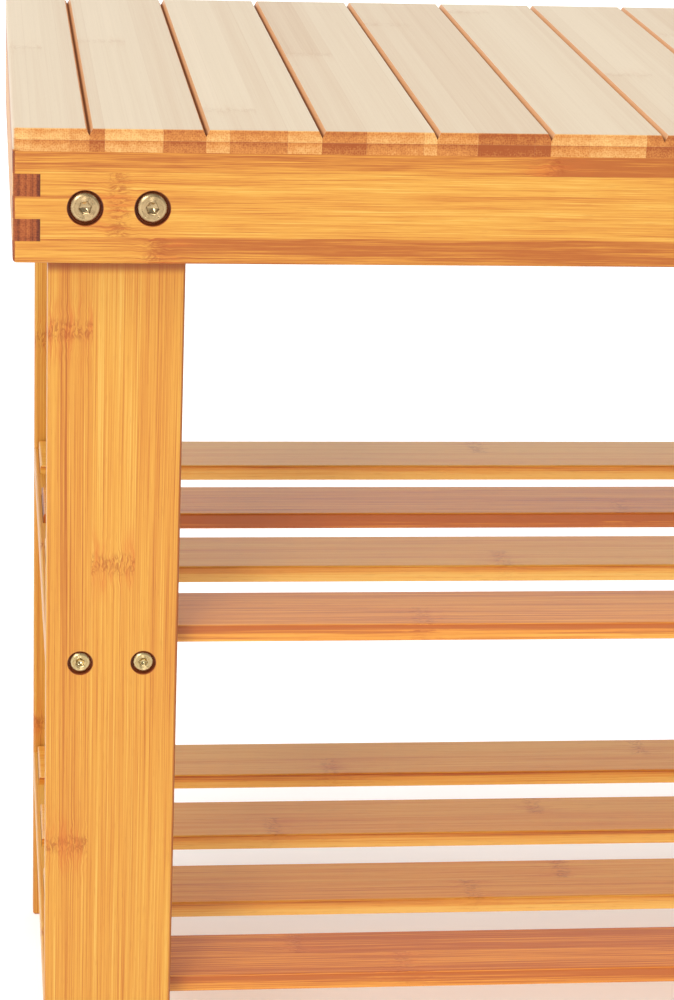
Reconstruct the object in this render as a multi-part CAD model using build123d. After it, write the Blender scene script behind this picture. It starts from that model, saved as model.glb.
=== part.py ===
from build123d import *
import os

# Bamboo entryway bench: a boarded seat on a finger-jointed apron, four flat legs
# bolted behind the apron, and two slatted shoe shelves between the legs.
# Millimetres. +X runs to the sitter's right seen from the front, +Y to the back,
# +Z up. The origin is on the floor under the middle of the bench.

# Overall size
bench_length = 730.0
bench_depth = 280.0
bench_height = 450.0

# Seat: boards running front to back, edge to edge, with a V groove at each meeting
seat_thickness = 8.5
full_board_count = 16
end_board_width = 27.5
groove_half_width = 1.3
groove_depth = 2.6
seat_corner_radius = 4.0
seat_arris_radius = 1.2

# Apron: four rails on edge, finger-jointed at the corners
rail_thickness = 10.0
apron_height = 41.5
finger_slices = 5
apron_corner_radius = 1.6
apron_lower_radius = 1.4

# Legs: flat boards behind the front and rear rails
leg_width = 51.0
leg_thickness = 12.0
leg_side_gap = 3.0
leg_arris_radius = 1.2
foot_chamfer = 0.8

# Shelves: slats that run lengthwise, let into a flat cross rail at each end
upper_shelf_top = 248.0
lower_shelf_top = 92.5
slats_per_shelf = 4
slat_width = 36.5
slat_thickness = 7.0
slat_end_setback = 2.0
slat_leg_gap = 1.5
slat_top_radius = 1.0
slat_lower_radius = 0.6
shelf_rail_thickness = 12.0
shelf_rail_arris_radius = 0.8
housing_depth = 3.0
housing_clearance = 0.15

# Apron bolts: two for each leg, screwed into threaded inserts
bolt_pitch = 24.5
apron_bolt_head_radius = 5.8
apron_bolt_head_height = 2.6
apron_bolt_shank_radius = 3.0
apron_socket_across_flats = 4.0
apron_socket_depth = 1.9
apron_counterbore_radius = 6.6
apron_counterbore_depth = 3.0
insert_wall = 1.5
insert_cover = 2.0
bolt_end_gap = 1.0

# Shelf bolts: two for each leg at each shelf, into the end of the cross rail
shelf_bolt_head_radius = 4.1
shelf_bolt_head_height = 2.0
shelf_bolt_shank_radius = 2.5
shelf_bolt_bite = 35.0
shelf_socket_across_flats = 3.0
shelf_socket_depth = 1.5
shelf_counterbore_radius = 4.9
shelf_counterbore_depth = 2.4

# Rounding shared by both kinds of bolt, as shares of the head height and shank radius
head_rounding = 0.4
shank_end_chamfer = 0.2

# Slat screws: one for each slat end, driven up through the cross rail
screw_head_radius = 3.4
screw_head_height = 2.0
screw_shank_radius = 1.7
screw_cover_below_slat_top = 2.5
screw_tip_length = 2.0
screw_recess_width = 0.8
screw_recess_depth = 1.0
screw_tip_sharpness = 0.2

# Seat dowels: one at each end of each seat board
dowel_radius = 2.5
dowel_depth_in_board = 5.0
dowel_depth_in_rail = 11.0
dowel_chamfer = 0.5
dowel_to_side_rail = 1.25

# Clearances
bolt_hole_clearance = 0.3
thread_clearance = 0.05
dowel_clearance = 0.05
blind_hole_relief = 0.5
cutter_overshoot = 1.0

# Places that follow from the sizes above
seat_underside = bench_height - seat_thickness
apron_underside = seat_underside - apron_height
apron_bolt_z = (seat_underside + apron_underside) / 2
insert_length = leg_thickness - insert_cover
apron_bolt_engagement = insert_length - bolt_end_gap
leg_outer_x = bench_length / 2 - rail_thickness - leg_side_gap
leg_centre_x = leg_outer_x - leg_width / 2
leg_outer_y = bench_depth / 2 - rail_thickness
leg_inner_y = leg_outer_y - leg_thickness
board_pitch = (bench_length - 2 * end_board_width) / full_board_count
slat_end_x = leg_outer_x - slat_end_setback
slat_run = 2 * (leg_inner_y - slat_leg_gap) - slat_width
slat_pitch = slat_run / (slats_per_shelf - 1)

os.makedirs("parts", exist_ok=True)
sides = {"left": -1, "right": 1}
depths = {"front": -1, "rear": 1}
shelves = {"upper": upper_shelf_top, "lower": lower_shelf_top}


def save(name, pieces):
    """Write one node, from one solid or a list of separate solids."""
    shape = Compound(children=pieces) if isinstance(pieces, list) else pieces
    shape.label = name
    export_step(shape, f"parts/{name}.step")


def block(low, high):
    """A box between two opposite corners."""
    size = [b - a for a, b in zip(low, high)]
    centre = [(a + b) / 2 for a, b in zip(low, high)]
    return Pos(*centre) * Box(*size)


def rod(radius, start, end):
    """A cylinder whose axis runs between two points along X, Y or Z."""
    axis = Vector(*end) - Vector(*start)
    plane = Plane(origin=start, z_dir=axis.normalized())
    return extrude(plane * Circle(radius), axis.length)


def shelf_levels(shelf_top):
    """Heights of a shelf's slat underside, cross rail top, underside and middle."""
    slat_underside = shelf_top - slat_thickness
    rail_top = slat_underside + housing_depth
    rail_underside = rail_top - shelf_rail_thickness
    return slat_underside, rail_top, rail_underside, (rail_top + rail_underside) / 2


def slat_middles():
    """Y of the middle of each slat, from the front."""
    return [slat_pitch * i - slat_run / 2 for i in range(slats_per_shelf)]


def bolt_xs(side):
    """X of the two bolts through a leg on one side."""
    return [side * leg_centre_x - bolt_pitch / 2, side * leg_centre_x + bolt_pitch / 2]


def socket_bolt(head_radius, head_height, shank_radius, shank_length, flats, socket_depth):
    """A socket bolt along Z, the top of its head at the origin."""
    head = Pos(0, 0, -head_height / 2) * Cylinder(head_radius, head_height)
    head = fillet(head.edges().group_by(Axis.Z)[-1], head_height * head_rounding)
    shank = Pos(0, 0, -head_height - shank_length / 2) * Cylinder(shank_radius, shank_length)
    shank = chamfer(shank.edges().group_by(Axis.Z)[0], shank_radius * shank_end_chamfer)
    across_corners = flats / 3**0.5
    socket = extrude(Pos(0, 0, -socket_depth) * RegularPolygon(across_corners, 6), socket_depth)
    return head + shank - socket


def facing(depth):
    """A turn that points a bolt's head out of the front or rear of the bench."""
    return Rot(-90 * depth, 0, 0)


# Seat boards

def seat_edges():
    """Distances from the left end of the seat to every board edge."""
    inner = [end_board_width + board_pitch * i for i in range(full_board_count + 1)]
    return [0.0] + inner + [bench_length]


def seat_envelope():
    """The outline of the whole seat, its corners and upper arrises rounded."""
    half_x = bench_length / 2
    half_y = bench_depth / 2
    slab = block((-half_x, -half_y, seat_underside), (half_x, half_y, bench_height))
    slab = fillet(slab.edges().filter_by(Axis.Z), seat_corner_radius)
    return fillet(slab.edges().group_by(Axis.Z)[-1], seat_arris_radius)


def groove_cutter(x):
    """The V groove between two boards, as a prism along the depth of the seat."""
    widening = 1 + cutter_overshoot / groove_depth
    top = bench_height + cutter_overshoot
    profile = make_face(
        Polyline(
            (x, bench_height - groove_depth),
            (x + groove_half_width * widening, top),
            (x - groove_half_width * widening, top),
            close=True,
        )
    )
    return Pos(0, bench_depth / 2 + cutter_overshoot, 0) * extrude(
        Rot(90, 0, 0) * profile, bench_depth + 2 * cutter_overshoot
    )


def seat_dowel_places(depth):
    """Middle of every dowel: halfway across a full board, just inside the side rail at an end."""
    edges = seat_edges()[1:-1]
    y = depth * (bench_depth - rail_thickness) / 2
    middles = [(a + b) / 2 - bench_length / 2 for a, b in zip(edges, edges[1:])]
    end_x = bench_length / 2 - rail_thickness - dowel_to_side_rail - dowel_radius
    return [(x, y) for x in [-end_x, *middles, end_x]]


def make_seat_boards():
    edges = [e - bench_length / 2 for e in seat_edges()]
    envelope = seat_envelope()
    half_y = bench_depth / 2
    for number, (left, right) in enumerate(zip(edges, edges[1:]), start=1):
        board = block((left, -half_y, seat_underside), (right, half_y, bench_height))
        board = board & envelope
        for x in (left, right):
            if abs(x) < bench_length / 2 - seat_corner_radius:
                board -= groove_cutter(x)
        hole_top = seat_underside + dowel_depth_in_board + blind_hole_relief
        for depth in depths.values():
            x, y = seat_dowel_places(depth)[number - 1]
            board -= rod(dowel_radius + dowel_clearance, (x, y, seat_underside), (x, y, hole_top))
        save(f"seat_board_{number:02d}", board)


def make_seat_dowels():
    for name, depth in depths.items():
        dowels = []
        for x, y in seat_dowel_places(depth):
            low = seat_underside - dowel_depth_in_rail
            dowel = rod(dowel_radius, (x, y, low), (x, y, seat_underside + dowel_depth_in_board))
            ends = dowel.edges().filter_by(GeomType.CIRCLE)
            dowels.append(chamfer(ends, dowel_chamfer))
        save(f"{name}_seat_dowels", dowels)


# Apron rails

def apron_envelope():
    """The outline of the whole apron, its outer corners and lower arrises rounded."""
    half_x = bench_length / 2
    half_y = bench_depth / 2
    ring = block((-half_x, -half_y, apron_underside), (half_x, half_y, seat_underside))
    ring = fillet(ring.edges().filter_by(Axis.Z), apron_corner_radius)
    return fillet(ring.edges().group_by(Axis.Z)[0], apron_lower_radius)


def finger_band(index):
    """Lowest and highest Z of one finger, counted down from the top of the apron."""
    finger = apron_height / finger_slices
    return seat_underside - finger * (index + 1), seat_underside - finger * index


def corner_cells(x_sign, y_sign, wanted):
    """The corner cells that hold the front rail's fingers (0) or the side rail's (1)."""
    x0, x1 = sorted((x_sign * bench_length / 2, x_sign * (bench_length / 2 - rail_thickness)))
    y0, y1 = sorted((y_sign * bench_depth / 2, y_sign * (bench_depth / 2 - rail_thickness)))
    cells = []
    for index in range(wanted, finger_slices, 2):
        z0, z1 = finger_band(index)
        cells.append(block((x0, y0, z0), (x1, y1, z1)))
    return cells


def make_front_and_rear_rails(envelope):
    for name, depth in depths.items():
        half_x = bench_length / 2
        outer = depth * bench_depth / 2
        inner = depth * leg_outer_y
        y0, y1 = sorted((outer, inner))
        rail = block((-half_x, y0, apron_underside), (half_x, y1, seat_underside)) & envelope
        for side in sides.values():
            for cell in corner_cells(side, depth, 1):
                rail -= cell
            for x in bolt_xs(side):
                sunk = outer - depth * apron_counterbore_depth
                rail -= rod(
                    apron_bolt_shank_radius + bolt_hole_clearance,
                    (x, outer, apron_bolt_z),
                    (x, inner, apron_bolt_z),
                )
                rail -= rod(
                    apron_counterbore_radius, (x, outer, apron_bolt_z), (x, sunk, apron_bolt_z)
                )
        hole_low = seat_underside - dowel_depth_in_rail - blind_hole_relief
        for x, y in seat_dowel_places(depth):
            rail -= rod(dowel_radius + dowel_clearance, (x, y, hole_low), (x, y, seat_underside))
        save(f"apron_{name}_rail", rail)


def make_side_rails(envelope):
    for name, side in sides.items():
        half_y = bench_depth / 2
        x0, x1 = sorted((side * bench_length / 2, side * (bench_length / 2 - rail_thickness)))
        rail = block((x0, -half_y, apron_underside), (x1, half_y, seat_underside)) & envelope
        for depth in depths.values():
            for cell in corner_cells(side, depth, 0):
                rail -= cell
        save(f"apron_{name}_rail", rail)


# Legs, with their inserts and bolts

def make_leg(side, depth):
    x0, x1 = sorted((side * leg_outer_x, side * (leg_outer_x - leg_width)))
    y0, y1 = sorted((depth * leg_outer_y, depth * leg_inner_y))
    leg = block((x0, y0, 0), (x1, y1, seat_underside))
    leg = fillet(leg.edges().filter_by(Axis.Z), leg_arris_radius)
    leg = chamfer(leg.edges().group_by(Axis.Z)[0], foot_chamfer)
    outer = depth * leg_outer_y
    pocket = outer - depth * insert_length
    insert_radius = apron_bolt_shank_radius + thread_clearance + insert_wall
    for x in bolt_xs(side):
        leg -= rod(
            insert_radius + thread_clearance, (x, outer, apron_bolt_z), (x, pocket, apron_bolt_z)
        )
        for shelf_top in shelves.values():
            z = shelf_levels(shelf_top)[3]
            sunk = outer - depth * shelf_counterbore_depth
            leg -= rod(
                shelf_bolt_shank_radius + bolt_hole_clearance,
                (x, outer, z),
                (x, depth * leg_inner_y, z),
            )
            leg -= rod(shelf_counterbore_radius, (x, outer, z), (x, sunk, z))
    return leg


def make_inserts(side, depth):
    """Threaded sleeves let into the face of the leg that the rail covers."""
    outer = depth * leg_outer_y
    inner = outer - depth * insert_length
    bore = apron_bolt_shank_radius + thread_clearance
    sleeves = []
    for x in bolt_xs(side):
        sleeve = rod(bore + insert_wall, (x, outer, apron_bolt_z), (x, inner, apron_bolt_z))
        sleeve -= rod(bore, (x, outer, apron_bolt_z), (x, inner, apron_bolt_z))
        sleeves.append(sleeve)
    return sleeves


def make_apron_bolts(side, depth):
    under_head = rail_thickness - apron_counterbore_depth
    bolt = socket_bolt(
        apron_bolt_head_radius,
        apron_bolt_head_height,
        apron_bolt_shank_radius,
        under_head + apron_bolt_engagement,
        apron_socket_across_flats,
        apron_socket_depth,
    )
    top_of_head = bench_depth / 2 - apron_counterbore_depth + apron_bolt_head_height
    return [
        Pos(x, depth * top_of_head, apron_bolt_z) * facing(depth) * bolt for x in bolt_xs(side)
    ]


def make_shelf_bolts(side, depth):
    under_head = leg_thickness - shelf_counterbore_depth
    bolt = socket_bolt(
        shelf_bolt_head_radius,
        shelf_bolt_head_height,
        shelf_bolt_shank_radius,
        under_head + shelf_bolt_bite,
        shelf_socket_across_flats,
        shelf_socket_depth,
    )
    top_of_head = leg_outer_y - shelf_counterbore_depth + shelf_bolt_head_height
    bolts = []
    for shelf_top in shelves.values():
        z = shelf_levels(shelf_top)[3]
        for x in bolt_xs(side):
            bolts.append(Pos(x, depth * top_of_head, z) * facing(depth) * bolt)
    return bolts


def make_legs_and_bolts():
    for depth_name, depth in depths.items():
        for side_name, side in sides.items():
            corner = f"{depth_name}_{side_name}"
            save(f"leg_{corner}", make_leg(side, depth))
            save(f"leg_inserts_{corner}", make_inserts(side, depth))
            save(f"apron_bolts_{corner}", make_apron_bolts(side, depth))
            save(f"shelf_bolts_{corner}", make_shelf_bolts(side, depth))


# Shelves

def screw_places():
    """Middle of every slat screw: one at each end of each slat."""
    return [(side * leg_centre_x, y) for side in sides.values() for y in slat_middles()]


def screw_tip_z(shelf_top):
    return shelf_top - screw_cover_below_slat_top


def make_slats(shelf_name, shelf_top):
    slat_underside = shelf_levels(shelf_top)[0]
    for number, y in enumerate(slat_middles(), start=1):
        slat = block(
            (-slat_end_x, y - slat_width / 2, slat_underside),
            (slat_end_x, y + slat_width / 2, shelf_top),
        )
        slat = fillet(slat.edges().group_by(Axis.Z)[-1], slat_top_radius)
        lower = slat.edges().group_by(Axis.Z)[0].filter_by(Axis.X)
        slat = fillet(lower, slat_lower_radius)
        hole_top = screw_tip_z(shelf_top) + blind_hole_relief
        for side in sides.values():
            x = side * leg_centre_x
            slat -= rod(
                screw_shank_radius + thread_clearance, (x, y, slat_underside), (x, y, hole_top)
            )
        save(f"{shelf_name}_shelf_slat_{number}", slat)


def make_shelf_rail(side, shelf_top):
    slat_underside, rail_top, rail_underside, middle = shelf_levels(shelf_top)
    x0, x1 = sorted((side * leg_outer_x, side * (leg_outer_x - leg_width)))
    rail = block((x0, -leg_inner_y, rail_underside), (x1, leg_inner_y, rail_top))
    rail = fillet(rail.edges().filter_by(Axis.Y), shelf_rail_arris_radius)
    outer_stop = side * (slat_end_x + housing_clearance)
    through = side * (leg_outer_x - leg_width - cutter_overshoot)
    h0, h1 = sorted((outer_stop, through))
    half_housing = slat_width / 2 + housing_clearance
    for y in slat_middles():
        rail -= block(
            (h0, y - half_housing, slat_underside),
            (h1, y + half_housing, rail_top + cutter_overshoot),
        )
        x = side * leg_centre_x
        rail -= rod(
            screw_shank_radius + thread_clearance, (x, y, rail_underside), (x, y, slat_underside)
        )
        rail -= Pos(x, y, rail_underside + screw_head_height / 2) * Cone(
            screw_head_radius + thread_clearance,
            screw_shank_radius + thread_clearance,
            screw_head_height,
        )
    for depth in depths.values():
        end = depth * leg_inner_y
        bottom = depth * (leg_inner_y - shelf_bolt_bite - blind_hole_relief)
        for x in bolt_xs(side):
            rail -= rod(
                shelf_bolt_shank_radius + thread_clearance, (x, end, middle), (x, bottom, middle)
            )
    return rail


def slat_screw(shelf_top):
    """A countersunk screw pointing up, the face of its head at the origin."""
    length = screw_tip_z(shelf_top) - shelf_levels(shelf_top)[2]
    head = Pos(0, 0, screw_head_height / 2) * Cone(
        screw_head_radius, screw_shank_radius, screw_head_height
    )
    shank_length = length - screw_head_height - screw_tip_length
    shank = Pos(0, 0, screw_head_height + shank_length / 2) * Cylinder(
        screw_shank_radius, shank_length
    )
    tip = Pos(0, 0, length - screw_tip_length / 2) * Cone(
        screw_shank_radius, screw_shank_radius * screw_tip_sharpness, screw_tip_length
    )
    screw = head + shank + tip
    arm = 2 * screw_shank_radius
    for turn in (0, 90):
        screw -= Rot(0, 0, turn) * Box(arm, screw_recess_width, 2 * screw_recess_depth)
    return screw


def make_shelves():
    for shelf_name, shelf_top in shelves.items():
        make_slats(shelf_name, shelf_top)
        for side_name, side in sides.items():
            save(f"{shelf_name}_shelf_{side_name}_rail", make_shelf_rail(side, shelf_top))
        rail_underside = shelf_levels(shelf_top)[2]
        screw = slat_screw(shelf_top)
        screws = [Pos(x, y, rail_underside) * screw for x, y in screw_places()]
        save(f"{shelf_name}_shelf_slat_screws", screws)


make_seat_boards()
make_seat_dowels()
apron_outline = apron_envelope()
make_front_and_rear_rails(apron_outline)
make_side_rails(apron_outline)
make_legs_and_bolts()
make_shelves()
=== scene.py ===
import math
import random
import bpy
from mathutils import Matrix, Vector


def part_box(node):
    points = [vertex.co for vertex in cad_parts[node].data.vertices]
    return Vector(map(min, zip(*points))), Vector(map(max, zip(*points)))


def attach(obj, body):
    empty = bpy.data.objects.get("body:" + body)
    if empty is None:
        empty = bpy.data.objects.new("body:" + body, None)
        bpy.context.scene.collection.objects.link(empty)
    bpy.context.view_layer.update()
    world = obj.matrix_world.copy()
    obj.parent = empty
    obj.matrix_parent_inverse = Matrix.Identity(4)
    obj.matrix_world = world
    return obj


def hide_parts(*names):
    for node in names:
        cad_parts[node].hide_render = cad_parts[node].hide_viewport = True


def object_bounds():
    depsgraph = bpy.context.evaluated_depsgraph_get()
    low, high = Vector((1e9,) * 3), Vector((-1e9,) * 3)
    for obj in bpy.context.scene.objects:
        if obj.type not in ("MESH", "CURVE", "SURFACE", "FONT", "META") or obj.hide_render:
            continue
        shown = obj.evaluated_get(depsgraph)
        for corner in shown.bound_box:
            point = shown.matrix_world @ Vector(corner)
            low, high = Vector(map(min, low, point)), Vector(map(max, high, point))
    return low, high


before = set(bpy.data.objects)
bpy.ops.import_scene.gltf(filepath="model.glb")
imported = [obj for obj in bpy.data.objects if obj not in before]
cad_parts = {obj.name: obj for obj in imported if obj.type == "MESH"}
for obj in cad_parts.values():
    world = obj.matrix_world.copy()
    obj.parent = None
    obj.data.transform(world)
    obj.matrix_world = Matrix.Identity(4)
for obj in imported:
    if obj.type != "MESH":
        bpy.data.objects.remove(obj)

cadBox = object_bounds()  # the design's own box, before any piece is added
print("frame loaded:", len(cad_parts), "nodes")

mm = 0.001
sides = {"left": -1, "right": 1}
depths = {"front": -1, "rear": 1}
headRadius = {"apron": 5.8 * mm, "shelf": 4.1 * mm}  # of the bolts


# Shader building

def addNode(tree, kind, inputs=None, **settings):
    # an input takes a number, a colour, a vector or another node's socket
    node = tree.nodes.new(kind)
    for key, value in settings.items():
        setattr(node, key, value)
    for key, value in (inputs or {}).items():
        if isinstance(value, bpy.types.NodeSocket):
            tree.links.new(value, node.inputs[key])
        else:
            node.inputs[key].default_value = value
    return node


def calc(tree, operation, *values):
    return addNode(tree, "ShaderNodeMath", dict(enumerate(values)), operation=operation).outputs[0]


def fade(tree, value, start, end, low=0.0, high=1.0):
    # a soft step from low to high as value goes from start to end
    inputs = {"Value": value, "From Min": start, "From Max": end, "To Min": low, "To Max": high}
    node = addNode(tree, "ShaderNodeMapRange", inputs, interpolation_type="SMOOTHSTEP")
    return node.outputs["Result"]


def blendColour(tree, amount, first, second):
    node = addNode(tree, "ShaderNodeMix", data_type="RGBA", blend_type="MIX")
    for index, value in ((0, amount), (6, first), (7, second)):
        if isinstance(value, bpy.types.NodeSocket):
            tree.links.new(value, node.inputs[index])
        else:
            node.inputs[index].default_value = value
    return node.outputs[2]


def vectorCalc(tree, operation, first, second):
    return addNode(tree, "ShaderNodeVectorMath", {0: first, 1: second}, operation=operation).outputs[0]


def noise(tree, vector, scales, detail=2.0, rough=0.5, distortion=0.0):
    # scales are the noise's cycles a metre on each axis
    inputs = {
        "Vector": vectorCalc(tree, "MULTIPLY", vector, scales),
        "Scale": 1.0,
        "Detail": detail,
        "Roughness": rough,
        "Distortion": distortion,
    }
    return addNode(tree, "ShaderNodeTexNoise", inputs).outputs[0]


def ramp(tree, value, stops, interpolation="LINEAR"):
    # stops are (place, colour); a bare number is a grey
    node = addNode(tree, "ShaderNodeValToRGB", {"Fac": value})
    band = node.color_ramp
    band.interpolation = interpolation
    while len(band.elements) < len(stops):
        band.elements.new(0.5)
    for element, (place, colour) in zip(band.elements, stops):
        element.position = place
        element.color = colour if isinstance(colour, tuple) else (colour, colour, colour, 1.0)
    return node.outputs["Color"]


def paint(red, green, blue):
    # a colour given as 0 to 255, turned to linear light
    def linear(part):
        level = part / 255
        return level / 12.92 if level <= 0.04045 else ((level + 0.055) / 1.055) ** 2.4
    return (linear(red), linear(green), linear(blue), 1.0)


def share(tree, value, low, high):
    # where value lies between low and high, as 0 to 1
    inputs = {"Value": value, "From Min": low, "From Max": high}
    return addNode(tree, "ShaderNodeMapRange", inputs).outputs["Result"]


def emptyMaterial(name):
    material = bpy.data.materials.new(name)
    material.use_nodes = True
    material.node_tree.nodes.clear()
    return material


def finishShader(tree, inputs):
    shader = addNode(tree, "ShaderNodeBsdfPrincipled", inputs)
    addNode(tree, "ShaderNodeOutputMaterial", {"Surface": shader.outputs[0]})


# Bamboo: strips glued side by side, in one or more plies, with knots across single strips

bambooFinish = {
    "deep": paint(168, 90, 28),  # the darkest streaks
    "warm": paint(200, 131, 47),
    "gold": paint(211, 152, 59),
    "pale": paint(219, 175, 86),  # the lightest streaks
    "fleck": paint(156, 72, 16),  # short dark fibres and knots
    "endDeep": paint(120, 54, 20),
    "endWarm": paint(186, 112, 54),
    "endPale": paint(222, 168, 98),
    "broad": 0.58,  # how much the tone drifts over a strip
    "streak": 0.85,
    "hair": 1.35,
    "wisp": 1.0,  # above 1 the streaks are shorter
    "tick": 0.16,  # strength of the short dark fibres
    "knot": 0.62,  # strength of a knot's flecks and smudges
    "smudge": paint(196, 100, 34),  # the browner wood round a knot
    "face": 1.0,  # how much the strips differ on the long faces
    "endContrast": 1.0,  # and on the end grain
    "plyFall": 0.16,  # how much darker the top of each ply is, seen from its side
    "fallShape": 2.5,  # lower, and the dark part reaches further down
    "roughness": 0.42,
    "specular": 0.30,
    "coat": 0.10,
    "coatRoughness": 0.25,
    "relief": 0.10 * mm,
}

# noise scales along, across and through the grain
grain = {
    "sway": (5, 15, 15),  # long bends
    "curl": (150, 260, 260),  # short bends, strongest at a knot
    "broad": (1.2, 170, 170),
    "streak": (3.2, 820, 820),
    "hair": (9, 1900, 1900),
    "tick": (130, 2100, 2100),
    "fleck": (260, 620, 620),
    "smudge": (38, 380, 380),
    "tickCut": (0.60, 0.72),  # the noise becomes short fibres between these levels
    "swayReach": 1.2 * mm,
    "curlReach": 2.6 * mm,
    "knotWobble": 4 * mm,
    "middleTone": 0.55,
    "toneStops": (0.12, 0.40, 0.62, 0.92),  # where deep, warm, gold and pale lie
    "glue": 0.18,  # how dark the glue lines are
}

knotShape = {
    "band": (5.5 * mm, 1.2 * mm),  # the flecks fade in between these distances from the knot
    "halo": (20 * mm, 0.0),
    "change": (-2 * mm, 3 * mm),  # the strip's tone changes over this stretch
    "edge": (0.2 * mm, -0.4 * mm),  # outside and inside the strip's own edge
    "fleckCut": (0.42, 0.62),
    "smudgeCut": (0.44, 0.66),
}

endGrain = {
    "bundles": 1500.0,  # cut fibre bundles a metre
    "randomness": 0.55,
    "mottle": (240, 240, 240),
    "tone": 0.22,
    "dots": 0.55,
    "mottling": 0.35,
    "fall": -0.32,
    "stops": (0.0, 0.45, 0.9),  # where endDeep, endWarm and endPale lie
}

# what the bump is made of, and what makes the surface duller
relief = {"hair": 0.6, "tick": -0.8, "fleck": 0.5, "dots": 0.8, "strength": 0.6}
dullness = {"hair": 0.16, "endGrain": 0.22}

axisNames = "XYZ"


def knotMasks(tree, along, across, knots, wobble):
    # the fleck band of every knot, the wider zone where fibres bend, and the change of tone past it
    band, halo, step = 0.0, 0.0, 0.0
    outside, within = knotShape["edge"]
    for centre, halfWidth, place, change in knots:
        sideways = calc(tree, "ABSOLUTE", calc(tree, "SUBTRACT", across, centre))
        inside = fade(tree, sideways, halfWidth + outside, halfWidth + within)
        past = calc(tree, "ADD", calc(tree, "SUBTRACT", along, place), wobble)
        away = calc(tree, "ABSOLUTE", past)
        near = calc(tree, "MULTIPLY", fade(tree, away, *knotShape["band"]), inside)
        band = calc(tree, "MAXIMUM", band, near)
        wide = calc(tree, "MULTIPLY", fade(tree, away, *knotShape["halo"]), inside)
        halo = calc(tree, "MAXIMUM", halo, wide)
        beyond = calc(tree, "MULTIPLY", fade(tree, past, *knotShape["change"]), inside)
        step = calc(tree, "MULTIPLY_ADD", beyond, change, step)
    return band, halo, step


def bendFibres(tree, places, piece):
    # fibres bend a little everywhere and more round the knots
    straight = addNode(tree, "ShaderNodeCombineXYZ", dict(enumerate(places))).outputs[0]
    seeded = vectorCalc(tree, "ADD", straight, (piece["seed"], 0, 0))
    sway = calc(tree, "SUBTRACT", noise(tree, seeded, grain["sway"], 1), 0.5)
    curl = calc(tree, "SUBTRACT", noise(tree, seeded, grain["curl"], 2), 0.5)
    wobble = calc(tree, "MULTIPLY", curl, grain["knotWobble"])
    band, halo, step = knotMasks(tree, places[0], places[1], piece["knots"], wobble)
    knotBend = calc(tree, "MULTIPLY", calc(tree, "MULTIPLY", curl, halo), grain["curlReach"])
    bend = calc(tree, "ADD", calc(tree, "MULTIPLY", sway, grain["swayReach"]), knotBend)
    shift = addNode(tree, "ShaderNodeCombineXYZ", {1: bend}).outputs[0]
    return vectorCalc(tree, "ADD", seeded, shift), band, halo, step


def endGrainColour(tree, look, places, stripTone, plyChange, fall):
    # cut fibre bundles as dots, on wood that is darker towards the top of a ply
    section = addNode(tree, "ShaderNodeCombineXYZ", {0: places[1], 1: places[2]}).outputs[0]
    bundle = {"Vector": section, "Scale": endGrain["bundles"], "Randomness": endGrain["randomness"]}
    dots = addNode(tree, "ShaderNodeTexVoronoi", bundle).outputs["Distance"]
    mottle = calc(tree, "SUBTRACT", noise(tree, section, endGrain["mottle"], 2), 0.5)
    contrast = look["endContrast"]
    tone = calc(tree, "MULTIPLY_ADD", stripTone, contrast, endGrain["tone"] - 0.5 * contrast)
    tone = calc(tree, "MULTIPLY_ADD", dots, endGrain["dots"], tone)
    tone = calc(tree, "MULTIPLY_ADD", mottle, endGrain["mottling"], tone)
    tone = calc(tree, "MULTIPLY_ADD", fall, endGrain["fall"], calc(tree, "ADD", tone, plyChange))
    colours = (look["endDeep"], look["endWarm"], look["endPale"])
    return ramp(tree, tone, list(zip(endGrain["stops"], colours))), dots


def glueLines(tree, look, place, lines, colour):
    # lines are (place, half width), both as shares of the piece
    for line, half in lines:
        off = calc(tree, "ABSOLUTE", calc(tree, "SUBTRACT", place, line))
        glue = calc(tree, "MULTIPLY", fade(tree, off, half, half * 0.3), grain["glue"])
        colour = blendColour(tree, glue, colour, look["fleck"])
    return colour


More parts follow.
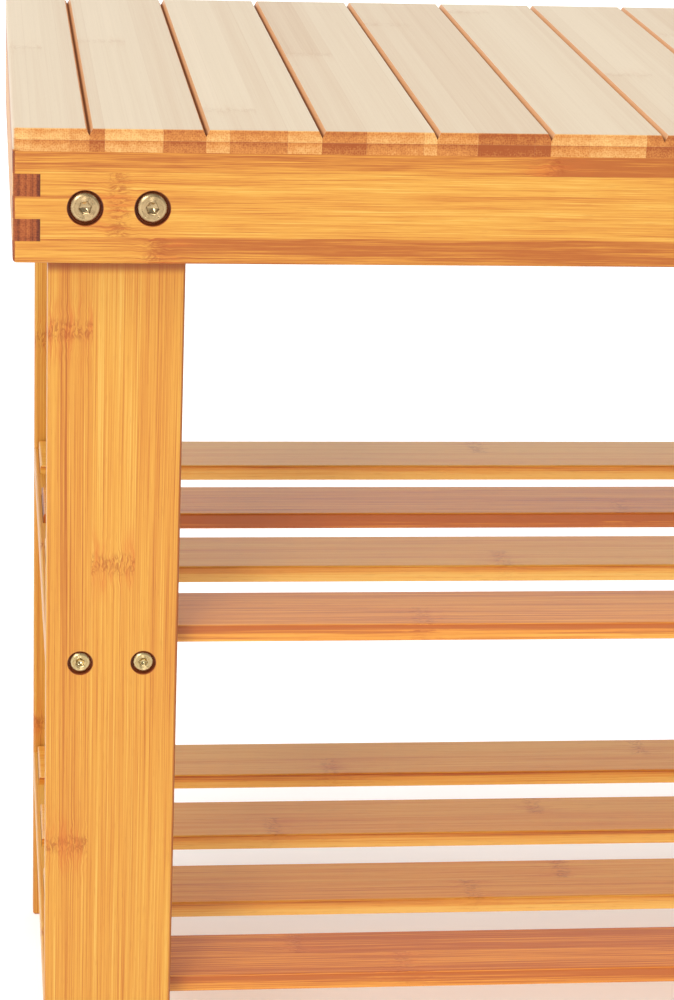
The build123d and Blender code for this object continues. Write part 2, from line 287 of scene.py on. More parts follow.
def bambooMaterial(name, piece):
    # piece says which way its grain runs, its strips and plies as (share, tone), and its knots
    look = {**bambooFinish, **piece.get("look", {})}
    low, high = piece["box"]
    along, across, through = piece["axes"]
    material = emptyMaterial(name)
    tree = material.node_tree

    coordinates = addNode(tree, "ShaderNodeTexCoord")
    split = addNode(tree, "ShaderNodeSeparateXYZ", {"Vector": coordinates.outputs["Object"]})
    normal = addNode(tree, "ShaderNodeSeparateXYZ", {"Vector": coordinates.outputs["Normal"]})
    places = [split.outputs[axis] for axis in piece["axes"]]
    fibres, band, halo, step = bendFibres(tree, places, piece)

    def streaks(kind, rough):
        lengthwise, crosswise, inward = grain[kind]
        return noise(tree, fibres, (lengthwise * look["wisp"], crosswise, inward), 3, rough)

    broad = streaks("broad", 0.6)
    streak = streaks("streak", 0.7)
    hair = streaks("hair", 0.7)

    # strips across and plies through the thickness
    acrossIndex = axisNames.index(across)
    throughIndex = axisNames.index(through)
    acrossShare = share(tree, places[1], low[acrossIndex], high[acrossIndex])
    throughShare = share(tree, places[2], low[throughIndex], high[throughIndex])
    stripTone = ramp(tree, acrossShare, piece["strips"], "CONSTANT")
    plyTone = ramp(tree, throughShare, [(at, tone + 0.5) for at, tone in piece["plies"]], "CONSTANT")
    plyChange = calc(tree, "SUBTRACT", plyTone, 0.5)
    endSight = fade(tree, calc(tree, "ABSOLUTE", normal.outputs[along]), 0.35, 0.6)
    sideSight = fade(tree, calc(tree, "ABSOLUTE", normal.outputs[through]), 0.75, 0.45)
    justUnder = 0.999  # the top face belongs to the top ply
    inPly = calc(tree, "FRACT", calc(tree, "MULTIPLY", throughShare, len(piece["plies"]) * justUnder))
    fall = calc(tree, "MULTIPLY", calc(tree, "POWER", inPly, look["fallShape"]), sideSight)

    # the tone of the long faces, then its colour
    face = calc(tree, "MULTIPLY_ADD", endSight, 1.0 - look["face"], look["face"])
    middle = grain["middleTone"]
    tone = calc(tree, "MULTIPLY_ADD", calc(tree, "SUBTRACT", stripTone, middle), face, middle)
    tone = calc(tree, "ADD", tone, step)
    tone = calc(tree, "MULTIPLY_ADD", fall, -look["plyFall"], tone)
    tone = calc(tree, "ADD", tone, calc(tree, "MULTIPLY", plyChange, sideSight))
    for part, strength in ((broad, "broad"), (streak, "streak"), (hair, "hair")):
        centred = calc(tree, "SUBTRACT", part, 0.5)
        tone = calc(tree, "MULTIPLY_ADD", centred, look[strength], tone)
    colours = (look["deep"], look["warm"], look["gold"], look["pale"])
    colour = ramp(tree, tone, list(zip(grain["toneStops"], colours)))
    tick = noise(tree, fibres, grain["tick"], 1)
    tickMask = calc(tree, "MULTIPLY", fade(tree, tick, *grain["tickCut"]), look["tick"])
    colour = blendColour(tree, tickMask, colour, look["fleck"])

    # knots: curly dark flecks in a browner zone
    smudge = noise(tree, fibres, grain["smudge"], 3, 0.6, 0.6)
    smudgeMask = calc(tree, "MULTIPLY", fade(tree, smudge, *knotShape["smudgeCut"]), halo)
    colour = blendColour(tree, calc(tree, "MULTIPLY", smudgeMask, look["knot"]), colour, look["smudge"])
    fleck = noise(tree, fibres, grain["fleck"], 3, 0.65, 1.2)
    fleckMask = calc(tree, "MULTIPLY", fade(tree, fleck, *knotShape["fleckCut"]), band)
    colour = blendColour(tree, calc(tree, "MULTIPLY", fleckMask, look["knot"]), colour, look["fleck"])

    endColour, dots = endGrainColour(tree, look, places, stripTone, plyChange, fall)
    colour = blendColour(tree, endSight, colour, endColour)
    colour = glueLines(tree, look, acrossShare, piece["stripLines"], colour)
    colour = glueLines(tree, look, throughShare, piece["plyLines"], colour)
    for extra in piece.get("extras", []):
        colour = extra(tree, split, normal, colour)

    height = calc(tree, "MULTIPLY_ADD", hair, relief["hair"], streak)
    height = calc(tree, "MULTIPLY_ADD", tickMask, relief["tick"], height)
    height = calc(tree, "MULTIPLY_ADD", fleckMask, relief["fleck"], height)
    height = calc(tree, "MULTIPLY_ADD", calc(tree, "MULTIPLY", dots, endSight), relief["dots"], height)
    depth = {"Strength": relief["strength"], "Distance": look["relief"], "Height": height}
    bump = addNode(tree, "ShaderNodeBump", depth)
    gloss = calc(tree, "MULTIPLY_ADD", hair, dullness["hair"], look["roughness"] - 0.5 * dullness["hair"])
    gloss = calc(tree, "MULTIPLY_ADD", endSight, dullness["endGrain"], gloss)
    finishShader(tree, {
        "Base Color": colour,
        "Roughness": gloss,
        "Normal": bump.outputs["Normal"],
        "Specular IOR Level": look["specular"],
        "Coat Weight": look["coat"],
        "Coat Roughness": look["coatRoughness"],
    })
    return material


glueLine = 0.22 * mm  # half the width of the dark line between two strips
fineGlueLine = 0.15 * mm
twoPlies = {"plies": [(0.0, 0.0), (0.5, 0.04)], "plyLines": [(0.5, 0.012)]}


def evenStrips(count, tone, rng, width, spread=0.14):
    # equal strips whose tones differ by a little chance
    strips = [(i / count, tone + rng.uniform(-spread, spread)) for i in range(count)]
    lines = [(i / count, glueLine / width) for i in range(1, count)]
    return strips, lines


def scatteredKnots(box, along, across, count, spacing, rng):
    # one knot every so often on each strip, at places left to chance
    low, high = box
    alongIndex = axisNames.index(along)
    acrossIndex = axisNames.index(across)
    width = (high[acrossIndex] - low[acrossIndex]) / count
    knots = []
    for strip in range(count):
        place = low[alongIndex] + rng.uniform(0.1, 1.0) * spacing
        while place < high[alongIndex]:
            centre = low[acrossIndex] + (strip + 0.5) * width
            knots.append((centre, width / 2, place, rng.uniform(-0.12, 0.12)))
            place += spacing * rng.uniform(0.8, 1.2)
    return knots


def dress(node, material):
    # a design node keeps its mesh and takes a new finish
    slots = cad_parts[node].data.materials
    slots.clear()
    slots.append(material)


def boltAxes(node, radius):
    # the bolts' axes are a head's radius inside the corners of their node's box
    low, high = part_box(node)
    xs = (low[0] + radius, high[0] - radius)
    zs = sorted({round(low[2] + radius, 6), round(high[2] - radius, 6)})
    return [(x, z) for z in zs for x in xs]


# painted shade in the counterbores
boreShadow = {
    "colour": paint(140, 62, 22),
    "strength": 0.92,
    "rim": 0.28 * mm,
}


def boreShade(axes, radius):
    # painted shade darkens the counterbores and a thin ring just round their mouths
    def shade(tree, split, normal, colour):
        for x, z in axes:
            sideways = calc(tree, "SUBTRACT", split.outputs["X"], x)
            upward = calc(tree, "SUBTRACT", split.outputs["Z"], z)
            squares = calc(tree, "MULTIPLY_ADD", sideways, sideways, calc(tree, "MULTIPLY", upward, upward))
            away = calc(tree, "SQRT", squares)
            rim = fade(tree, away, radius + boreShadow["rim"], radius - 0.02 * mm)
            amount = calc(tree, "MULTIPLY", rim, boreShadow["strength"])
            colour = blendColour(tree, amount, colour, boreShadow["colour"])
        return colour
    return shade


# Seat boards

seatBoards = {
    "seed": 11,
    "count": 18,
    "grooveDepth": 2.6 * mm,
    "grooveWall": paint(226, 164, 104),
    # painted shade at the bottom of the grooves
    "grooveShadow": paint(128, 66, 26),
    "knotSpacing": 0.26,
    "phases": [0.24, 0.13, 0.20, 0.385, 0.357, 0.34],  # where the first strip of a board ends
    "tones": [
        (0.80, 0.72, 0.62), (0.30, 0.80, 0.36), (0.74, 0.42, 0.70),
        (0.28, 0.60, 0.84), (0.46, 0.10, 0.14), (0.66, 0.78, 0.34),
    ],
    # pale cream long faces: partly the boards' own colour, partly painted sheen of the strong top light
    "look": {
        "deep": paint(186, 152, 116),
        "warm": paint(203, 178, 146),
        "gold": paint(210, 190, 160),
        "pale": paint(218, 199, 170),
        "fleck": paint(172, 128, 88),
        "smudge": paint(196, 158, 122),
        "endDeep": paint(152, 74, 24),
        "endWarm": paint(196, 126, 58),
        "endPale": paint(222, 176, 108),
        "tick": 0.06,
        "knot": 0.22,
        "face": 0.25,
        "endContrast": 0.85,
        "broad": 0.36,
        "streak": 0.26,
        "hair": 0.50,
        "roughness": 0.46,
    },
}


def grooveShade(seatTop, halfLength):
    # the planed walls of the grooves are a warmer colour, and painted shade darkens them towards the bottom
    def shade(tree, split, normal, colour):
        leaning = fade(tree, calc(tree, "ABSOLUTE", normal.outputs["X"]), 0.45, 0.7)
        height = split.outputs["Z"]
        bottom = seatTop - seatBoards["grooveDepth"]
        deep = fade(tree, height, bottom + 1.5 * mm, bottom + 0.5 * mm, 0.0, 0.9)
        fromMiddle = calc(tree, "ABSOLUTE", split.outputs["X"])
        inner = fade(tree, fromMiddle, halfLength - 2 * mm, halfLength - 5 * mm)
        above = fade(tree, height, bottom - 0.6 * mm, bottom - 0.2 * mm)
        wall = calc(tree, "MULTIPLY", leaning, calc(tree, "MULTIPLY", inner, above))
        colour = blendColour(tree, calc(tree, "MULTIPLY", wall, 0.85), colour, seatBoards["grooveWall"])
        return blendColour(tree, calc(tree, "MULTIPLY", wall, deep), colour, seatBoards["grooveShadow"])
    return shade


def seatMaterials():
    rng = random.Random(seatBoards["seed"])
    for number in range(1, seatBoards["count"] + 1):
        node = f"seat_board_{number:02d}"
        low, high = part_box(node)
        known = number <= len(seatBoards["phases"])
        phase = seatBoards["phases"][number - 1] if known else rng.uniform(0.1, 0.42)
        tones = seatBoards["tones"][number - 1] if known else [rng.uniform(0.2, 0.85) for i in range(3)]
        starts = (0.0, phase, phase + 0.5)
        piece = {
            "box": (low, high),
            "axes": "YXZ",
            "seed": number * 1.7,
            "strips": list(zip(starts, tones)),
            "stripLines": [(start, fineGlueLine / (high[0] - low[0])) for start in starts[1:]],
            "plies": [(0.0, rng.uniform(-0.16, -0.04)), (0.5, 0.02)],
            "plyLines": [(0.5, 0.2 * mm / (high[2] - low[2]))],
            "knots": scatteredKnots((low, high), "Y", "X", 2, seatBoards["knotSpacing"], rng)[:1],
            "look": seatBoards["look"],
            "extras": [grooveShade(cadBox[1][2], cadBox[1][0])],
        }
        dress(node, bambooMaterial(f"seatBamboo{number:02d}", piece))


seatMaterials()
print("seat boards finished")


# Apron rails

apron = {
    "seed": 5,
    "nodes": {"front": "XZY", "rear": "XZY", "left": "YZX", "right": "YZX"},
    "strips": [(0.0, 0.42), (0.24, 0.49), (0.82, 0.32)],
    "firstKnots": (52 * mm, 38.5 * mm, 198 * mm),  # from the front rail's left end, lowest strip first
    "firstChanges": (-0.20, 0.03, -0.22),  # how the tone changes past each strip's first knot
    "plies": [(0.0, -0.05), (0.3, 0.1), (0.62, 0.0), (0.86, -0.3)],
    "plyLines": [(0.3, 0.015), (0.62, 0.015)],
    "counterbore": 6.6 * mm,
    "look": {
        "endDeep": paint(96, 38, 14),
        "endWarm": paint(148, 72, 28),
        "endPale": paint(184, 104, 46),
        "plyFall": 0.0,
        "wisp": 3.0,
    },
}


def apronMaterials():
    rng = random.Random(apron["seed"])
    for name, axes in apron["nodes"].items():
        node = f"apron_{name}_rail"
        low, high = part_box(node)
        height = high[2] - low[2]
        index = axisNames.index(axes[0])
        shares = [start for start, tone in apron["strips"]] + [1.0]
        knots = []
        for number, (start, end) in enumerate(zip(shares, shares[1:])):
            centre = low[2] + (start + end) / 2 * height
            half = (end - start) / 2 * height
            first = apron["firstKnots"][number] if name == "front" else rng.uniform(20, 200) * mm
            place = low[index] + first
            change = apron["firstChanges"][number]
            while place < high[index]:
                knots.append((centre, half, place, change))
                place += rng.uniform(230, 290) * mm
                change = rng.uniform(-0.05, 0.2)
        bores = []
        if name in depths:
            bolts = []
            for side in sides:
                bolts += boltAxes(f"apron_bolts_{name}_{side}", headRadius["apron"])
            bores = [boreShade(bolts, apron["counterbore"])]
        piece = {
            "box": (low, high),
            "axes": axes,
            "seed": rng.uniform(0, 40),
            "strips": apron["strips"],
            "stripLines": [(start, fineGlueLine / height) for start in shares[1:-1]],
            "plies": apron["plies"],
            "plyLines": apron["plyLines"],
            "knots": knots,
            "look": apron["look"],
            "extras": bores,
        }
        dress(node, bambooMaterial(f"apronBamboo{name.capitalize()}", piece))


apronMaterials()
print("apron finished")


# Legs

leg = {
    "seed": 3,
    "strips": 3,
    "tone": 0.52,
    "counterbore": 4.9 * mm,
    "knotSpacing": 0.21,
    # strip, height above the floor, tone change
    "frontLeftKnots": (
        (0, 372 * mm, 0.04), (0, 160 * mm, -0.05), (1, 279 * mm, 0.05), (2, 66 * mm, 0.0),
    ),
    # colour of the painted shade on the legs
    "paintedShade": paint(138, 62, 18),
    # painted shade: start and end, measured from the apron's lower edge or the right face, and strength
    "cornerShadow": (-7.0 * mm, -3.2 * mm, 0.8),
    "arrisShade": (-1.2 * mm, -0.3 * mm, 0.75),
}


def legPaintedShade(jointHeight, rightFace):
    # painted shadow in the corner under the apron, and painted shade along the right arris, which is turned
    # from the light
    def shade(tree, split, normal, colour):
        shadeAmounts = []
        for axis, edge, paintedShade in (("Z", jointHeight, "cornerShadow"), ("X", rightFace, "arrisShade")):
            start, end, strength = leg[paintedShade]
            shadeAmounts.append(fade(tree, split.outputs[axis], edge + start, edge + end, 0.0, strength))
        return blendColour(tree, calc(tree, "MAXIMUM", *shadeAmounts), colour, leg["paintedShade"])
    return shade


def legMaterials():
    rng = random.Random(leg["seed"])
    for depth in depths:
        for side in sides:
            node = f"leg_{depth}_{side}"
            low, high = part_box(node)
            width = high[0] - low[0]
            strips, lines = evenStrips(leg["strips"], leg["tone"], rng, width, 0.06)
            knots = scatteredKnots((low, high), "Z", "X", leg["strips"], leg["knotSpacing"], rng)
            if (depth, side) == ("front", "left"):
                half = width / leg["strips"] / 2
                knots = [
                    (low[0] + (2 * strip + 1) * half, half, height, change)
                    for strip, height, change in leg["frontLeftKnots"]
                ]
            bolts = boltAxes(f"shelf_bolts_{depth}_{side}", headRadius["shelf"])
            piece = {
                "box": (low, high),
                "axes": "ZXY",
                "seed": rng.uniform(0, 40),
                "strips": strips,
                "stripLines": lines,
                **twoPlies,
                "knots": knots,
                "look": {"plyFall": 0.0},
                "extras": [
                    boreShade(bolts, leg["counterbore"]),
                    legPaintedShade(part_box("apron_front_rail")[0][2], high[0]),
                ],
            }
            dress(node, bambooMaterial(f"legBamboo{depth.capitalize()}{side.capitalize()}", piece))


legMaterials()
print("legs finished")


# Shelf slats and the cross rails under them

slat = {
    "seed": 7,
    "strips": 2,
    # front to rear: the tone of each slat, and how far its front edge is from it
    "tones": {"upper": (0.45, 0.70, 0.50, 0.86), "lower": (0.22, 0.60, 0.80, 0.74)},
    "edges": {"upper": (0.12, 0.28, -0.28, 0.20), "lower": (0.13, 0.44, 0.15, 0.18)},
    # slat, strip, place from the middle of the bench, tone change
    "knots": {
        "upper": ((1, 0, -202 * mm, 0.03), (2, 0, -158 * mm, 0.05), (3, 0, -94 * mm, -0.04)),
        "lower": ((1, 0, -202 * mm, 0.04), (1, 1, -246 * mm, -0.1)),
    },
    "knotSpacing": 0.26,
    "look": {
        "deep": paint(176, 90, 26),
        "warm": paint(211, 132, 44),
        "gold": paint(223, 153, 56),
        "pale": paint(231, 177, 84),
        "smudge": paint(204, 106, 36),
        "plyFall": 0.85,
        "fallShape": 1.8,
        "streak": 1.0,
        "wisp": 1.6,
        "knot": 0.42,
        "roughness": 0.34,
        "coat": 0.3,
    },
}


crossRail = {
    "strips": 3,
    "tone": 0.5,
    "knotSpacing": 0.2,
}


def shelfMaterials():
    rng = random.Random(slat["seed"])
    for shelf, tones in slat["tones"].items():
        for number, tone in enumerate(tones, start=1):
            node = f"{shelf}_shelf_slat_{number}"
            low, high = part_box(node)
            width = high[1] - low[1]
            strips, lines = evenStrips(slat["strips"], tone, rng, width, 0.05)
            half = width / slat["strips"] / 2
            chosen = [
                (low[1] + (2 * strip + 1) * half, half, place, change)
                for which, strip, place, change in slat["knots"][shelf] if which == number
            ]
            scattered = scatteredKnots((low, high), "X", "Y", slat["strips"], slat["knotSpacing"], rng)
            # chosen knots take the left half for themselves
            others = [knot for knot in scattered if knot[2] > 0 or not chosen]
            piece = {
                "box": (low, high),
                "axes": "XYZ",
                "seed": rng.uniform(0, 40),
                "strips": strips,
                "stripLines": lines,
                "plies": [(0.0, slat["edges"][shelf][number - 1])],
                "plyLines": [],
                "knots": chosen + others,
                "look": slat["look"],
            }
            dress(node, bambooMaterial(f"slatBamboo{shelf.capitalize()}{number}", piece))
        for side in sides:
            node = f"{shelf}_shelf_{side}_rail"
            low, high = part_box(node)
            count = crossRail["strips"]
            strips, lines = evenStrips(count, crossRail["tone"], rng, high[0] - low[0])
            piece = {
                "box": (low, high),
                "axes": "YXZ",
                "seed": rng.uniform(0, 40),
                "strips": strips,
                "stripLines": lines,
                **twoPlies,
                "knots": scatteredKnots((low, high), "Y", "X", count, crossRail["knotSpacing"], rng),
            }
            dress(node, bambooMaterial(f"railBamboo{shelf.capitalize()}{side.capitalize()}", piece))


shelfMaterials()
print("shelves finished")


# Bolts: turned brass heads with a hex socket, and a rolled thread on the shank

apronBolt = {
    "nodes": "apron_bolts",
    "head": headRadius["apron"],
    "height": 2.6 * mm,
    "shank": 3.0 * mm,
    "flats": 4.0 * mm,
    "socket": 1.9 * mm,
    "dome": 0.16 * mm,
    "pitch": 1.0 * mm,
    "turnedRings": 5,
    "metal": paint(182, 156, 115),
    "seed": 16,
}
shelfBolt = {
    "nodes": "shelf_bolts",
    "head": headRadius["shelf"],
    "height": 2.0 * mm,
    "shank": 2.5 * mm,
    "flats": 3.0 * mm,
    "socket": 1.5 * mm,
    "dome": 0.12 * mm,
    "pitch": 0.8 * mm,
    "turnedRings": 4,
    "metal": paint(198, 176, 128),
    "seed": 15,
}
boltShape = {
    "steps": 48,  # points round the bolt
    "drillPoint": 0.55 * mm,  # the cone below the socket
    # the socket's rim: distance out from the flats, depth, how hexagonal
    "rim": (
        (0.0, 0.42 * mm, 1.0), (0.10 * mm, 0.28 * mm, 0.9),
        (0.42 * mm, 0.06 * mm, 0.35), (0.55 * mm, 0.02 * mm, 0.1),
    ),
    "dish": 0.62 * mm,  # width of the rim all round
    "flat": 0.74,  # share of the head's radius before it rounds off
    "fall": 0.30,  # share of the head's height taken by the rounding
    "shoulderSteps": 8,
    "mark": 0.06 * mm,  # depth of a turned ring
    "edge": 0.12 * mm,  # chamfer under the head
    "neck": 0.15 * mm,
    "tip": 0.6 * mm,
    "tipRadius": 0.74,
    "threadRun": 16 * mm,
    "threadSteps": 6,  # rings in one turn of the thread
    "threadDepth": 0.49,  # share of the pitch
}


def hexReach(angle):
    # how far a hexagon of half width 1 reaches at an angle
    return 1 / math.cos((angle % (math.pi / 3)) - math.pi / 6)


def headRings(bolt):
    # (radius, height, how hexagonal) from the bottom of the socket to the underside of the head
    half = bolt["flats"] / 2
    rings = [
        (half * 0.45, -bolt["socket"] - 0.17 * mm, 0.2),
        (half * 0.93, -bolt["socket"] + 0.24 * mm, 1.0),
        (half, -bolt["socket"] + 0.36 * mm, 1.0),
    ]
    for out, depth, hexagon in boltShape["rim"]:
        rings.append((half + out, -depth, hexagon))
    inner = half + boltShape["dish"]
    outer = bolt["head"] * boltShape["flat"]
    shoulder = bolt["head"] - outer
    fall = bolt["height"] * boltShape["fall"]
    steps = bolt["turnedRings"] * 4
    for i in range(steps + 1):
        radius = inner + (outer - inner) * i / steps
        mark = boltShape["mark"] if i % 4 in (1, 2) else 0.0
        rings.append((radius, -bolt["dome"] * (radius / outer) ** 2 - mark, 0.0))
    for i in range(1, boltShape["shoulderSteps"] + 1):
        part = i / boltShape["shoulderSteps"]
        rings.append((outer + shoulder * part, -bolt["dome"] - fall * part ** 1.5, 0.0))
    edge = boltShape["edge"]
    rings.append((bolt["head"], -bolt["height"] + edge, 0.0))
    rings.append((bolt["head"] - edge, -bolt["height"], 0.0))
    rings.append((bolt["shank"] + boltShape["neck"], -bolt["height"], 0.0))
    return rings


def boltMesh(name, bolt, length):
    boltSteps = boltShape["steps"]
    points = [(0.0, 0.0, -bolt["socket"] - boltShape["drillPoint"])]
    faces = []

    def addRing(ring):
        start = len(points)
        points.extend(ring)
        for i in range(boltSteps):
            j = (i + 1) % boltSteps
            if start == 1:
                faces.append((0, start + i, start + j))
            else:
                faces.append((start - boltSteps + i, start + i, start + j, start - boltSteps + j))

    def circle(radius, height, hexagon=0.0):
        ring = []
        for i in range(boltSteps):
            angle = math.tau * i / boltSteps
            reach = radius * (1 - hexagon + hexagon * hexReach(angle))
            ring.append((reach * math.cos(angle), reach * math.sin(angle), height))
        return ring

    for radius, height, hexagon in headRings(bolt):
        addRing(circle(radius, height, hexagon))
    top = -bolt["height"] - boltShape["neck"]
    bottom = -length + boltShape["tip"]
    threadTop = min(top - 1 * mm, bottom + boltShape["threadRun"])
    addRing(circle(bolt["shank"], top))
    addRing(circle(bolt["shank"], threadTop + 0.2 * mm))
    perTurn = boltShape["threadSteps"]
    steps = int((threadTop - bottom) / bolt["pitch"] * perTurn)
    for step in range(steps + 1):
        height = threadTop - (threadTop - bottom) * step / steps
        ease = min(1.0, step / perTurn, (steps - step) / perTurn + 0.35)  # shallower at both ends
        ring = []
        for i in range(boltSteps):
            angle = math.tau * i / boltSteps
            phase = (height / bolt["pitch"] + i / boltSteps) % 1.0
            cut = boltShape["threadDepth"] * bolt["pitch"] * (1 - abs(2 * phase - 1))
            reach = bolt["shank"] - cut * ease
            ring.append((reach * math.cos(angle), reach * math.sin(angle), height))
        addRing(ring)
    addRing(circle(bolt["shank"] * boltShape["tipRadius"], -length))
    points.append((0.0, 0.0, -length))
    last = len(points) - 1
    for i in range(boltSteps):
        faces.append((last - boltSteps + i, last, last - boltSteps + (i + 1) % boltSteps))
    mesh = bpy.data.meshes.new(name)
    mesh.from_pydata(points, [], faces)
    mesh.update()
    mesh.shade_smooth()
    mesh.set_sharp_from_angle(angle=math.radians(32))
    return mesh


plating = {
    "turning": (5200, 1, 1),  # noise scales
    "patina": (420, 420, 420),
    "scratch": (300, 4200, 900),
    "dark": 0.62,  # against the metal's own colour
    "light": 1.22,
    "stops": (0.35, 0.55, 0.75),
    "roughness": 0.14,
    "scratchRoughness": 0.10,
    "patinaRoughness": 0.22,
    "socket": (-0.3 * mm, -1.2 * mm),  # it darkens and grows smoother between these heights
    "socketDark": 0.25,
    "socketSmooth": -0.5,
    "relief": 0.03 * mm,
}


def platedMaterial(name, metal, turned):
    # turning marks round the axis of a bolt, fine scratches, and a darker socket
    material = emptyMaterial(name)
    tree = material.node_tree
    place = addNode(tree, "ShaderNodeTexCoord").outputs["Object"]
    split = addNode(tree, "ShaderNodeSeparateXYZ", {"Vector": place})
    x, y, z = (split.outputs[axis] for axis in axisNames)
    radius = calc(tree, "SQRT", calc(tree, "MULTIPLY_ADD", x, x, calc(tree, "MULTIPLY", y, y)))
    ringPlace = addNode(tree, "ShaderNodeCombineXYZ", {0: radius}).outputs[0]
    turning = noise(tree, ringPlace if turned else place, plating["turning"], 2, 0.7)
    patina = noise(tree, place, plating["patina"], 3, 0.6)
    scratch = noise(tree, place, plating["scratch"], 2)
    dark = tuple(part * plating["dark"] for part in metal[:3]) + (1.0,)
    light = tuple(min(1.0, part * plating["light"]) for part in metal[:3]) + (1.0,)
    tone = calc(tree, "ADD", calc(tree, "MULTIPLY", turning, 0.6), calc(tree, "MULTIPLY", patina, 0.5))
    colour = ramp(tree, tone, list(zip(plating["stops"], (dark, metal, light))))
    gloss = calc(tree, "MULTIPLY_ADD", scratch, plating["scratchRoughness"], plating["roughness"])
    gloss = calc(tree, "MULTIPLY_ADD", patina, plating["patinaRoughness"], gloss)
    if turned:
        sunk = fade(tree, z, *plating["socket"])
        colour = blendColour(tree, calc(tree, "MULTIPLY", sunk, plating["socketDark"]), colour, dark)
        sunkGloss = calc(tree, "MULTIPLY", sunk, gloss)
        gloss = calc(tree, "MULTIPLY_ADD", sunkGloss, plating["socketSmooth"], gloss)
    height = calc(tree, "MULTIPLY_ADD", scratch, 0.3, turning)
    depth = {"Strength": 0.5, "Distance": plating["relief"], "Height": height}
    bump = addNode(tree, "ShaderNodeBump", depth)
    finishShader(tree, {
        "Base Color": colour,
        "Roughness": gloss,
        "Normal": bump.outputs["Normal"],
        "Metallic": 1.0,
    })
    return material


def makeBolts(bolt):
    rng = random.Random(bolt["seed"])
    material = platedMaterial(bolt["nodes"], bolt["metal"], turned=True)
    mesh = None
    for depth, sign in depths.items():
        for side in sides:
            node = f"{bolt['nodes']}_{depth}_{side}"
            low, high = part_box(node)
            if mesh is None:
                mesh = boltMesh(bolt["nodes"], bolt, high[1] - low[1])
                mesh.materials.append(material)
            face = low[1] if sign < 0 else high[1]
            for number, (x, z) in enumerate(boltAxes(node, bolt["head"]), start=1):
                piece = bpy.data.objects.new(f"{bolt['nodes'][:-1]}_{depth}_{side}_{number}", mesh)
                outward = Matrix.Rotation(-sign * math.pi / 2, 4, "X")
                spin = Matrix.Rotation(rng.uniform(0, math.tau), 4, "Z")
                piece.matrix_world = Matrix.Translation((x, face, z)) @ outward @ spin
                bpy.context.scene.collection.objects.link(piece)
                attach(piece, "root")
                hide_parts(node)


makeBolts(apronBolt)
makeBolts(shelfBolt)
print("bolts made")


# Fixings inside the joints: threaded inserts, slat screws and seat dowels

fixing = {
    "inserts": {
        "metal": paint(176, 146, 84),
        "nodes": [f"leg_inserts_{depth}_{side}" for depth in depths for side in sides],
    },
    "screws": {
        "metal": paint(150, 150, 152),
        "nodes": ["upper_shelf_slat_screws", "lower_shelf_slat_screws"],
    },
    "dowels": {
        "tone": 0.7,
        "seed": 60.0,
        "nodes": ["front_seat_dowels", "rear_seat_dowels"],
    },
}


def fixingMaterials():
    for kind in ("inserts", "screws"):
        material = platedMaterial(kind, fixing[kind]["metal"], turned=False)
        for node in fixing[kind]["nodes"]:
            dress(node, material)
    dowels = fixing["dowels"]
    for number, node in enumerate(dowels["nodes"]):
        piece = {
            "box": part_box(node),
            "axes": "ZXY",
            "seed": dowels["seed"] + number,
            "strips": [(0.0, dowels["tone"])],
            "stripLines": [],
            "plies": [(0.0, 0.0)],
            "plyLines": [],
            "knots": [],
            "look": seatBoards["look"],
        }
        dress(node, bambooMaterial(f"dowel{number + 1}", piece))


fixingMaterials()
print("fixings finished")


# Camera, light and floor

view = {
    "place": (-0.37624, -1.16321, 0.6673),
    "down": 0.35617,  # tilt below level
    "right": 0.11256,  # heading towards +X
    "roll": 0.03562,
    "lens": 103.5,
    "shift": (0.05, 0.06),
}


def makeCamera():
    data = bpy.data.cameras.new("camera")
    data.lens = view["lens"]
    data.sensor_width = 36.0
    data.shift_x, data.shift_y = view["shift"]
    data.clip_end = 50.0
    camera = bpy.data.objects.new("camera", data)
    turn = (
        Matrix.Rotation(-view["right"], 4, "Z")
        @ Matrix.Rotation(math.pi / 2 - view["down"], 4, "X")
        @ Matrix.Rotation(view["roll"], 4, "Z")
    )
    camera.matrix_world = Matrix.Translation(view["place"]) @ turn
    bpy.context.scene.collection.objects.link(camera)
    bpy.context.scene.camera = camera


studio = {
    "horizon": 1.1,
    "backWall": 1.15,  # bright behind the bench, dimmer in front of it and overhead
    "frontWall": 0.45,
    "ceiling": 0.45,
    "lamps": {
        "key": {"place": (-1.25, -2.1, 1.25), "size": 0.7, "power": 19.0},
        "leftSpark": {"place": (-2.2, -1.9, 2.3), "size": 0.3, "power": 5.0},
        "rightSpark": {"place": (1.9, -1.9, 2.3), "size": 0.3, "power": 5.0},
    },
    "target": (0, 0, 0.25),
    "sun": {"from": (-0.1, -0.25, 1.0), "spread": math.radians(34), "strength": 1.85},
}


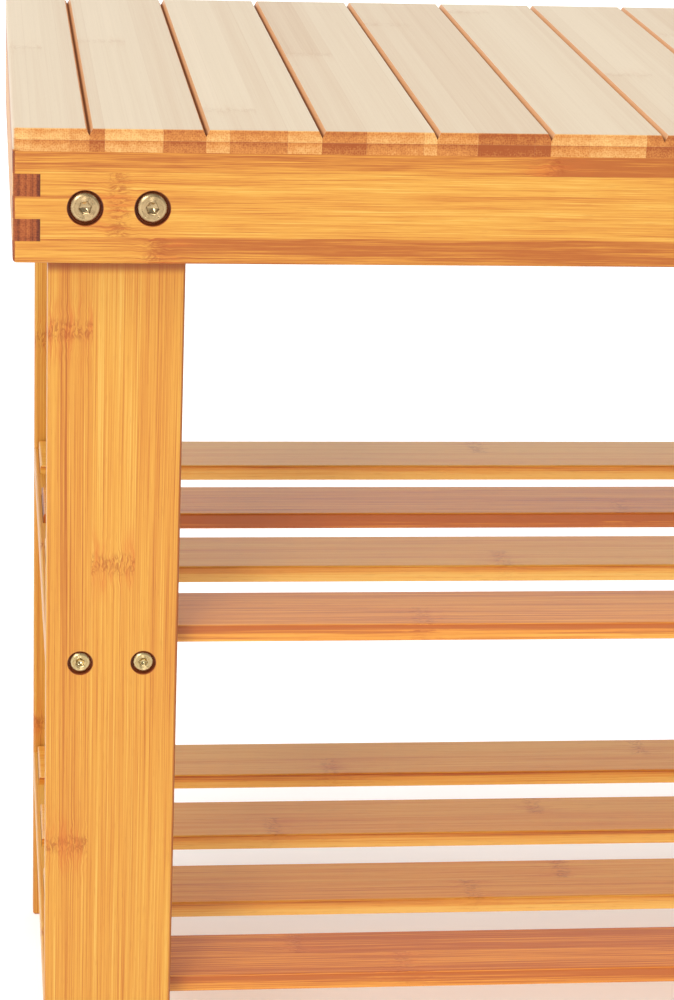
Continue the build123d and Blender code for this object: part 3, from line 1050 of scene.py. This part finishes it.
def makeLights():
    scene = bpy.context.scene
    world = bpy.data.worlds.new("studio")
    world.use_nodes = True
    tree = world.node_tree
    direction = addNode(tree, "ShaderNodeTexCoord").outputs["Generated"]
    heading = addNode(tree, "ShaderNodeSeparateXYZ", {"Vector": direction})
    wall = fade(tree, heading.outputs["Y"], -0.6, 0.5, studio["frontWall"], studio["backWall"])
    above = fade(tree, heading.outputs["Z"], 0.05, 0.15)
    low = fade(tree, heading.outputs["Z"], 0.30, 0.70)
    strength = blendColour(tree, above, (studio["horizon"],) * 3 + (1.0,), wall)
    strength = blendColour(tree, low, strength, (studio["ceiling"],) * 3 + (1.0,))
    tree.links.new(strength, tree.nodes["Background"].inputs["Color"])
    scene.world = world

    def place(data, where, target):
        light = bpy.data.objects.new(data.name, data)
        light.location = where
        light.rotation_euler = (Vector(target) - Vector(where)).to_track_quat("-Z", "Y").to_euler()
        scene.collection.objects.link(light)

    for name, lamp in studio["lamps"].items():
        data = bpy.data.lights.new(name, "AREA")
        data.energy = lamp["power"]
        data.shape = "DISK"
        data.size = lamp["size"]
        place(data, lamp["place"], studio["target"])
    sun = bpy.data.lights.new("sun", "SUN")
    sun.energy = studio["sun"]["strength"]
    sun.angle = studio["sun"]["spread"]
    place(sun, studio["sun"]["from"], (0, 0, 0))
    scene.view_settings.view_transform = "Standard"


floor = {
    "radius": 12.0,
    "corners": 64,
    "colour": (0.92, 0.92, 0.92, 1.0),
    "nearGlow": 0.21,  # keeps the shadow under the bench soft
    "farGlow": 0.45,  # the far floor melts into the pale wall
    "glowFrom": 1.3,
    "glowTo": 3.2,
}


def makeFloor():
    mesh = bpy.data.meshes.new("floor")
    corners = floor["corners"]
    ring = []
    for i in range(corners):
        angle = math.tau * i / corners
        ring.append((floor["radius"] * math.cos(angle), floor["radius"] * math.sin(angle), 0.0))
    mesh.from_pydata(ring, [], [list(range(corners))])
    piece = bpy.data.objects.new("floor", mesh)
    material = bpy.data.materials.new("floorPaint")
    material.use_nodes = True
    tree = material.node_tree
    shader = tree.nodes["Principled BSDF"]
    shader.inputs["Base Color"].default_value = floor["colour"]
    place = addNode(tree, "ShaderNodeTexCoord").outputs["Object"]
    away = addNode(tree, "ShaderNodeVectorMath", {0: place}, operation="LENGTH").outputs["Value"]
    glow = fade(tree, away, floor["glowFrom"], floor["glowTo"], floor["nearGlow"], floor["farGlow"])
    tree.links.new(glow, shader.inputs["Emission Strength"])
    shader.inputs["Emission Color"].default_value = (1.0, 1.0, 1.0, 1.0)
    speckle = noise(tree, place, (60, 60, 60), 3)
    tree.links.new(fade(tree, speckle, 0.3, 0.7, 0.74, 0.86), shader.inputs["Roughness"])
    mesh.materials.append(material)
    bpy.context.scene.collection.objects.link(piece)


makeCamera()
makeLights()
makeFloor()
print("camera, light and floor set")
